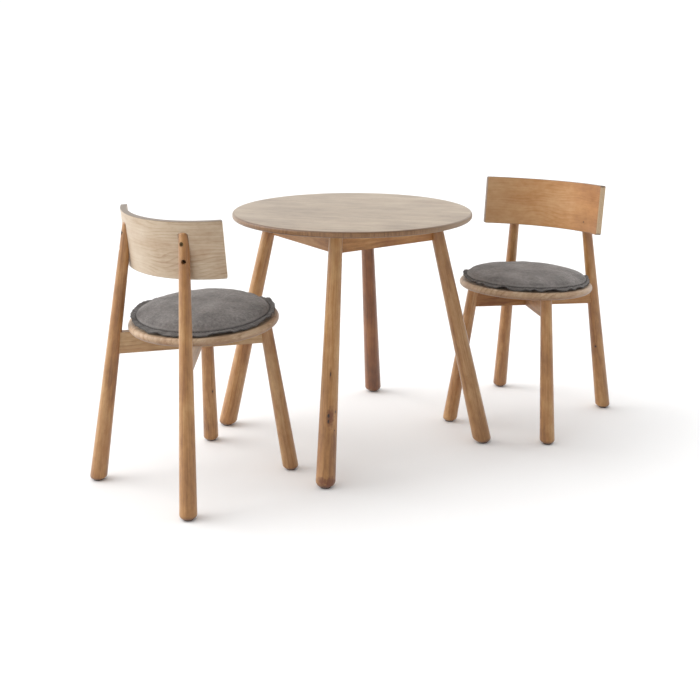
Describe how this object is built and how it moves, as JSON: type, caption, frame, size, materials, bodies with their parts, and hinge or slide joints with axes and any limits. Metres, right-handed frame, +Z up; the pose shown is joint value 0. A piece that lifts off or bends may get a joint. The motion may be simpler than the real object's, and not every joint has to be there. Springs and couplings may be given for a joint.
{
  "type": "kids table and chairs",
  "caption": "Round wooden children's table on splayed tapered legs, with two matching chairs that have round seats, bent backrest panels and loose grey cushions.",
  "frame": {"origin": "centre of the whole set's footprint, on the floor", "axes": "+X runs from the left-hand chair to the right-hand chair, +Y away from the front of the table, +Z up; the table's aprons are square to X and Y"},
  "size_m": [1.1834, 0.5568, 0.5399],
  "materials": {
    "table_top_wood": "matt lacquered pale hardwood",
    "leg_wood": "matt lacquered hardwood, grain along the leg",
    "rail_wood": "matt lacquered hardwood",
    "seat_wood": "matt lacquered hardwood",
    "panel_wood": "bent laminated wood with a matt lacquered veneer",
    "dowel_wood": "plain beech dowel",
    "zinc_steel": "zinc plated",
    "dark_steel": "black oxide",
    "felt": "pressed felt on a nail-on disc",
    "cushion_fabric": "washed grey linen, raw-edged flange"
  },
  "bodies": {
    "table": {"table_top": "table_top_wood", "table_leg_front_left": "leg_wood", "table_leg_front_right": "leg_wood", "table_leg_back_left": "leg_wood", "table_leg_back_right": "leg_wood", "apron_front": "rail_wood", "apron_back": "rail_wood", "apron_left": "rail_wood", "apron_right": "rail_wood", "table_corner_blocks": "rail_wood", "table_leg_bolts": "zinc_steel", "table_leg_washers": "zinc_steel", "table_leg_nuts": "zinc_steel", "table_top_screws": "zinc_steel", "table_glides": "felt"},
    "chair_a": {"chair_a_seat": "seat_wood", "chair_a_front_leg_left": "leg_wood", "chair_a_front_leg_right": "leg_wood", "chair_a_back_leg_left": "leg_wood", "chair_a_back_leg_right": "leg_wood", "chair_a_rail_upper": "rail_wood", "chair_a_rail_lower": "rail_wood", "chair_a_backrest": "panel_wood", "chair_a_backrest_bolts": "dark_steel", "chair_a_backrest_inserts": "zinc_steel", "chair_a_rail_dowels": "dowel_wood", "chair_a_seat_screws": "zinc_steel", "chair_a_glides": "felt"},
    "chair_b": {"chair_b_seat": "seat_wood", "chair_b_front_leg_left": "leg_wood", "chair_b_front_leg_right": "leg_wood", "chair_b_back_leg_left": "leg_wood", "chair_b_back_leg_right": "leg_wood", "chair_b_rail_upper": "rail_wood", "chair_b_rail_lower": "rail_wood", "chair_b_backrest": "panel_wood", "chair_b_backrest_bolts": "dark_steel", "chair_b_backrest_inserts": "zinc_steel", "chair_b_rail_dowels": "dowel_wood", "chair_b_seat_screws": "zinc_steel", "chair_b_glides": "felt"},
    "cushion_a": {"chair_a_cushion": "cushion_fabric"},
    "cushion_b": {"chair_b_cushion": "cushion_fabric"}
  },
  "joints": [
    {"name": "chair_a_slide", "type": "slide", "parent": "table", "child": "chair_a", "axis": [0.9662, 0.258, 0], "range_m": [-0.25, 0.05]},
    {"name": "chair_b_slide", "type": "slide", "parent": "table", "child": "chair_b", "axis": [-0.933, -0.36, 0], "range_m": [-0.25, 0.05]},
    {"name": "cushion_a_lift", "type": "slide", "parent": "chair_a", "child": "cushion_a", "axis": [0, 0, 1], "range_m": [0, 0.06]},
    {"name": "cushion_b_lift", "type": "slide", "parent": "chair_b", "child": "cushion_b", "axis": [0, 0, 1], "range_m": [0, 0.06]}
  ]
}
